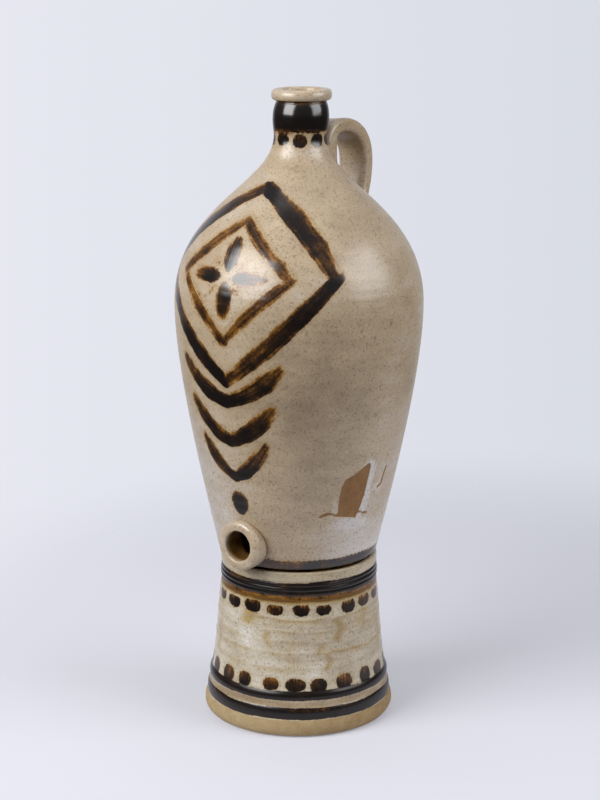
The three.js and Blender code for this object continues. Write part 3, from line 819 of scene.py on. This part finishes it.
def add(tree, kind, *terms, named=None, stops=(), **settings):
    """Adds a node with its settings. Its inputs, in order or by name, are set to a value or linked to a
    socket or to the first output in use of another node."""
    made = tree.nodes.new("ShaderNode" + kind)
    for key, value in settings.items():
        setattr(made, key, value)
    for key, value in [*enumerate(terms), *(named or {}).items()]:
        if isinstance(value, bpy.types.Node):
            value = next(output for output in value.outputs if output.enabled)
        if isinstance(value, bpy.types.NodeSocket):
            tree.links.new(value, made.inputs[key])
        else:
            made.inputs[key].default_value = value
    if stops:
        ramp = made.color_ramp.elements
        while len(ramp) < len(stops):
            ramp.new(0.5)
        for element, (position, colour) in zip(ramp, stops):
            element.position = position
            element.color = linear(colour)
    return made


# Places of a Mix node's inputs for colours and for plain values
UNDER, OVER = 6, 7
UNDER_VALUE, OVER_VALUE = 2, 3


def cleared(owner):
    """The emptied node tree of a material, a world or a light."""
    owner.use_nodes = True
    owner.node_tree.nodes.clear()
    return owner.node_tree


def stoneware(name, glaze, clay, lie, patchy, iron_gloss, ior):
    """Reduction-fired stoneware: an oatmeal glaze, from brown where it is thin to near white where it lies
    heavy, with shade painted into it in places, iron specks of the clay burnt through it, brushwork in iron
    that runs from amber where it is thin to glossy black where it lies heavy, and dry buff clay where there
    is no glaze."""
    material = bpy.data.materials.new(name)
    node = partial(add, cleared(material))
    here = node("TexCoord").outputs["Object"]
    here = node("VectorMath", here, named={"Scale": 1000.0}, operation="SCALE")
    paint, stroke = [
        node("SeparateXYZ", node("Attribute", attribute_name=kept).outputs["Vector"]).outputs
        for kept in ("paint", "brush")
    ]
    glaze_depth_and_shade = node("Attribute", attribute_name="glaze_depth_and_shade").outputs["Fac"]

    # Clouds 55 mm wide, flows of 20 mm, mottling of 9 mm, a ragged edge of 2.2 mm, grain that is drawn at
    # 1.6 mm so that it shows, though the real grain is finer, and streaks as the glaze lies
    cloud, flow, mottle, ragged, grain = [
        node("TexNoise", named={"Vector": here, "Scale": 1 / size, "Detail": detail})
        for size, detail in ((55, 2.0), (20, 2.0), (9, 3.0), (2.2, 1.0), (1.6, 2.0))
    ]
    streak = node("VectorMath", here, lie, operation="DIVIDE")
    streak = node("TexNoise", named={"Vector": streak, "Scale": 1.0, "Detail": 2.0})

    # Ground: its tone follows how thick the glaze lies, and the shade that is painted into the same
    # attribute
    body = node("Math", cloud, streak, operation="ADD")
    body = node("Math", mottle, 0.4, body, operation="MULTIPLY_ADD")
    body = node("Math", body, patchy, 0.5 - 1.2 * patchy, operation="MULTIPLY_ADD")
    body = node("Math", glaze_depth_and_shade, 0.5, body, operation="MULTIPLY_ADD")
    ground = node("ValToRGB", body, stops=((0.1, glaze[0]), (0.5, glaze[1]), (0.95, glaze[2])))
    toned = node("MapRange", grain, 0.3, 0.7, 0.88, 1.12)
    ground = node("VectorMath", ground, named={"Scale": toned}, operation="SCALE")

    # Iron brushwork: how far inside a stroke a point lies, in millimetres, with a ragged edge, and marks
    # of the bristles 45 mm long and 2.4 mm wide
    lengthwise = node("Math", stroke[0], 1 / 45, operation="MULTIPLY")
    crosswise = node("Math", stroke[1], 1 / 2.4, operation="MULTIPLY")
    bristle = node("CombineXYZ", lengthwise, crosswise)
    bristle = node("TexNoise", named={"Vector": bristle, "Scale": 1.0, "Detail": 2.0})
    inside = node("MapRange", paint[0], 0.0, 1.0, -EDGE_REACH, EDGE_REACH)
    uneven = node("Math", ragged, 0.9, -0.95, operation="MULTIPLY_ADD")
    uneven = node("Math", mottle, 1.0, uneven, operation="MULTIPLY_ADD")
    inside = node("Math", inside, uneven, operation="ADD")
    inside = node("Math", inside, 1.2, operation="SUBTRACT")
    inside = node("Math", bristle, 2.4, inside, operation="MULTIPLY_ADD")

    # Amber stain where iron has run into the glaze, and a faint one round each stroke. The same channel
    # holds painted shade on the boss and in a groove on the stand.
    stain_and_shade = node("Math", mottle, 1.2, 0.4, operation="MULTIPLY_ADD")
    stain_and_shade = node("Math", paint[2], stain_and_shade, operation="MULTIPLY", use_clamp=True)
    halo = node("MapRange", inside, -3.0, 0.0, 0.0, 0.22)
    stain_and_shade = node("Math", stain_and_shade, halo, operation="MAXIMUM")
    amber = node("ValToRGB", stain_and_shade, stops=((0.0, "#FFFFFF"), (0.5, "#DCC590"), (1.0, "#8A6732")))
    ground = node("Mix", 1.0, named={UNDER: ground, OVER: amber}, data_type="RGBA", blend_type="MULTIPLY")

    # Pepper of burnt clay, and iron specks, one to a cell of 3.4 mm and up to 1.4 mm across
    pepper = node("MapRange", ragged, 0.57, 0.7, 0.0, 0.42)
    ground = node("Mix", pepper, named={UNDER: ground, OVER: linear("#5C4833")}, data_type="RGBA")
    cell = node("TexVoronoi", named={"Vector": here, "Scale": 1 / 3.4})
    cast = node("SeparateColor", cell.outputs["Color"]).outputs
    size = node("MapRange", cast[0], 0.5, 1.0, 0.0, 0.24)
    speck = node("Math", size, cell.outputs["Distance"], operation="SUBTRACT")
    speck = node("MapRange", speck, 0.0, 0.08, 0.0, 0.7)
    ground = node("Mix", speck, named={UNDER: ground, OVER: linear("#3B2C1C")}, data_type="RGBA")

    # Bristles leave streaks, iron runs thin at the rim of a stroke, and a dry brush leaves gaps.
    covered = node("MapRange", inside, -0.4, 0.4, 0.0, 1.0, interpolation_type="SMOOTHSTEP")
    depth = node("Math", bristle, 0.7, -1.45, operation="MULTIPLY_ADD")
    for pattern, amount in ((flow, 1.2), (mottle, 0.5), (ragged, 0.5)):
        depth = node("Math", pattern, amount, depth, operation="MULTIPLY_ADD")
    depth = node("Math", depth, paint[1], operation="ADD")
    rim = node("MapRange", inside, 0.0, 3.5, -0.55, 0.0)
    depth = node("Math", depth, rim, operation="ADD")
    unbroken = node("MapRange", depth, -0.15, 0.05, 0.0, 1.0)
    covered = node("Math", covered, unbroken, operation="MULTIPLY")
    iron = node(
        "ValToRGB", depth,
        stops=(
            (0.0, "#94692A"), (0.2, "#744C1C"), (0.4, "#4C3011"), (0.6, "#2C1A0A"), (0.8, "#190E06"),
            (1.0, "#100905"),
        ),
    )
    colour = node("Mix", covered, named={UNDER: ground, OVER: iron}, data_type="RGBA")

    # Bare clay, gritty and dry
    dry = node("MapRange", stroke[2], 0.0, 1.0, -EDGE_REACH, EDGE_REACH)
    dry = node("Math", uneven, 0.5, dry, operation="MULTIPLY_ADD")
    dry = node("MapRange", dry, -0.4, 0.4, 0.0, 1.0, interpolation_type="SMOOTHSTEP")
    paleness = node("Math", glaze_depth_and_shade, 0.5, mottle, operation="MULTIPLY_ADD", use_clamp=True)
    earth = node("Mix", paleness, named={UNDER: linear(clay[0]), OVER: linear(clay[1])}, data_type="RGBA")
    earth = node("VectorMath", earth, named={"Scale": toned}, operation="SCALE")
    colour = node("Mix", dry, named={UNDER: colour, OVER: earth}, data_type="RGBA")

    # The pale glaze shines a little less than the iron, and the clay is matt.
    gloss = node("MapRange", mottle, 0.3, 0.7, 0.27, 0.33)
    gloss = node("Mix", covered, named={UNDER_VALUE: gloss, OVER_VALUE: iron_gloss}, data_type="FLOAT")
    gloss = node("Mix", dry, named={UNDER_VALUE: gloss, OVER_VALUE: 0.8}, data_type="FLOAT")

    # Relief in millimetres: ripples in the glaze, the lie of the bristles, grit and the edge of the glaze
    relief = node("Math", mottle, 0.04, operation="MULTIPLY")
    streaks = node("Math", bristle, covered, operation="MULTIPLY")
    for pattern, amount in ((ragged, 0.02), (grain, 0.012), (streaks, 0.05)):
        relief = node("Math", pattern, amount, relief, operation="MULTIPLY_ADD")
    grit = node("Math", grain, 0.1, -0.4, operation="MULTIPLY_ADD")
    relief = node("Math", dry, grit, relief, operation="MULTIPLY_ADD")
    bump = node("Bump", named={"Strength": 1.0, "Distance": 0.001, "Height": relief})
    surface = node(
        "BsdfPrincipled", named={"Base Color": colour, "Roughness": gloss, "IOR": ior, "Normal": bump}
    )
    node("OutputMaterial", surface)
    return material


# Glaze from thin to thick, bare clay from dark to light, the size of the glaze's streaks (it lies in
# soft rings on the jar and in turning marks on the stand), how patchy it is, the iron's roughness, and IOR
jar_glaze = stoneware(
    "oatmeal_glaze_and_iron_on_jar",
    ("#8F7C66", "#B9A589", "#D2CBC5"), ("#744C22", "#997142"), (40.0, 40.0, 12.0), 0.4, 0.15, 1.64,
)
stand_glaze = stoneware(
    "oatmeal_glaze_and_iron_on_stand",
    ("#9A8870", "#C0B5A0", "#D8D2C8"), ("#8C714A", "#AC9872"), (40.0, 40.0, 7.0), 0.62, 0.25, 1.45,
)
for made, finish, body, slot, nodes in (
    (jar_body, jar_glaze, "jar", "jar_glaze", ("body_lower", "body_upper", "neck_collar", "lip_ring")),
    (tap_boss, jar_glaze, "jar", "jar_glaze", ("tap_boss",)),
    (strap_handle, jar_glaze, "jar", "jar_glaze", ("strap_handle",)),
    (stand, stand_glaze, "stand", "stand_glaze", ("stand_drum",)),
):
    made.data.materials.append(finish)
    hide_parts(*nodes)
    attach(made, body)

# Pale matt paper for a floor, dull all over, that fades into the backdrop
bm = bmesh.new()
bmesh.ops.create_circle(bm, cap_ends=True, segments=96, radius=FLOOR_RADIUS)
floor = piece("floor", bm)
paper = bpy.data.materials.new("pale_matt_paper")
node = partial(add, cleared(paper))
here = node("TexCoord").outputs["Object"]
reach = node("VectorMath", here, tuple(FADE_MIDDLE), operation="DISTANCE")
# To the eye, the backdrop glows through a little everywhere, which softens the shadow.
seen = node("LightPath").outputs["Is Camera Ray"]
lifted = node("Math", seen, SHADOW_LIFT, operation="MULTIPLY")
gone = node("MapRange", reach, *FADE, lifted, 1.0, interpolation_type="SMOOTHSTEP")
below = node("NewGeometry").outputs["Backfacing"]
gone = node("Math", gone, below, operation="MAXIMUM")
fibre = node("TexNoise", named={"Vector": here, "Scale": 1000 / FIBRE})
fibre = node("MapRange", fibre, 0.0, 1.0, 0.92, 0.98)
matt = node("BsdfPrincipled", named={"Base Color": linear(PAPER), "Roughness": fibre})
clear = node("BsdfTransparent")
sheet = node("MixShader", gone, matt, clear)
node("OutputMaterial", sheet)
floor.data.materials.append(paper)

# World: a pale backdrop to the eye, lighter on the left, which the glaze mirrors behind the jar, and a
# dim room in front with its light from above
scene = bpy.context.scene
scene.view_settings.view_transform = "Standard"
world = bpy.data.worlds.new("pale_backdrop")
scene.world = world
node = partial(add, cleared(world))
ray = node("LightPath").outputs
facing = node("TexCoord").outputs["Generated"]
behind = node("VectorMath", facing, tuple(VIEW_AHEAD), operation="DOT_PRODUCT")
behind = node("MapRange", behind, 0.65, 1.0, 0.06, 0.9)
mirrored = node("Math", behind, ray["Is Glossy Ray"], operation="MULTIPLY")
seen = node("Math", ray["Is Camera Ray"], ray["Is Transmission Ray"], operation="ADD")
seen = node("Math", seen, mirrored, operation="ADD", use_clamp=True)
rightward = node("VectorMath", facing, tuple(VIEW_RIGHT), operation="DOT_PRODUCT")
rightward = node("MapRange", rightward, -0.15, 0.15, 0.0, 1.0)
left, right = [linear(shade) for shade in BACKDROP]
backdrop = node("Mix", rightward, named={UNDER: left, OVER: right}, data_type="RGBA")
glow = node("Background", backdrop, 1.0)
upward = node("SeparateXYZ", facing).outputs[2]
upward = node("MapRange", upward, -0.1, 0.7, 0.1, 1.0)
upward = node("Math", upward, ROOM_LIGHT, operation="MULTIPLY")
room = node("Background", linear("#F4F6FF"), upward)
surroundings = node("MixShader", seen, room, glow)
node("OutputWorld", surroundings)

# Two large soft boxes at the sides, the left one brighter, and a weak one overhead. Each is brightest in
# its middle.
for name, turn, height, distance, size, watts in LAMPS:
    lamp = bpy.data.lights.new(name, "AREA")
    lamp.shape = "RECTANGLE"
    lamp.size = size[0]
    lamp.size_y = size[1]
    lamp.energy = watts
    node = partial(add, cleared(lamp))
    on_box = node("NewGeometry").outputs["Parametric"]
    off_middle = node("VectorMath", on_box, (0.5, 0.5, 0), operation="SUBTRACT")
    off_middle = node("VectorMath", off_middle, operation="ABSOLUTE")
    off_middle = node("SeparateXYZ", off_middle).outputs
    across, along = [
        node("MapRange", part, 0.3, 0.5, 1.0, 0.2, interpolation_type="SMOOTHSTEP")
        for part in off_middle[:2]
    ]
    strength = node("Math", across, along, operation="MULTIPLY")
    glow = node("Emission", named={"Strength": strength})
    node("OutputLight", glow)
    box = bpy.data.objects.new(name, lamp)
    scene.collection.objects.link(box)
    way = VIEW_TURN + math.radians(turn)
    box.location = (distance * math.sin(way), -distance * math.cos(way), height)
    tilt = math.atan2(height - LAMP_AIM, distance)
    box.rotation_euler = (math.pi / 2 - tilt, 0, way)
    box.visible_camera = False

# Camera, well back and a little above the jar
camera = bpy.data.cameras.new("camera")
camera.lens = CAMERA_LENS
camera.sensor_width = 36
eye = bpy.data.objects.new("camera", camera)
scene.collection.objects.link(eye)
eye.location = CAMERA_STEP * VIEW_RIGHT - CAMERA_DISTANCE * VIEW_AHEAD + (0, 0, CAMERA_HEIGHT)
eye.rotation_euler = (math.pi / 2 - CAMERA_TILT, 0, VIEW_TURN)
scene.camera = eye
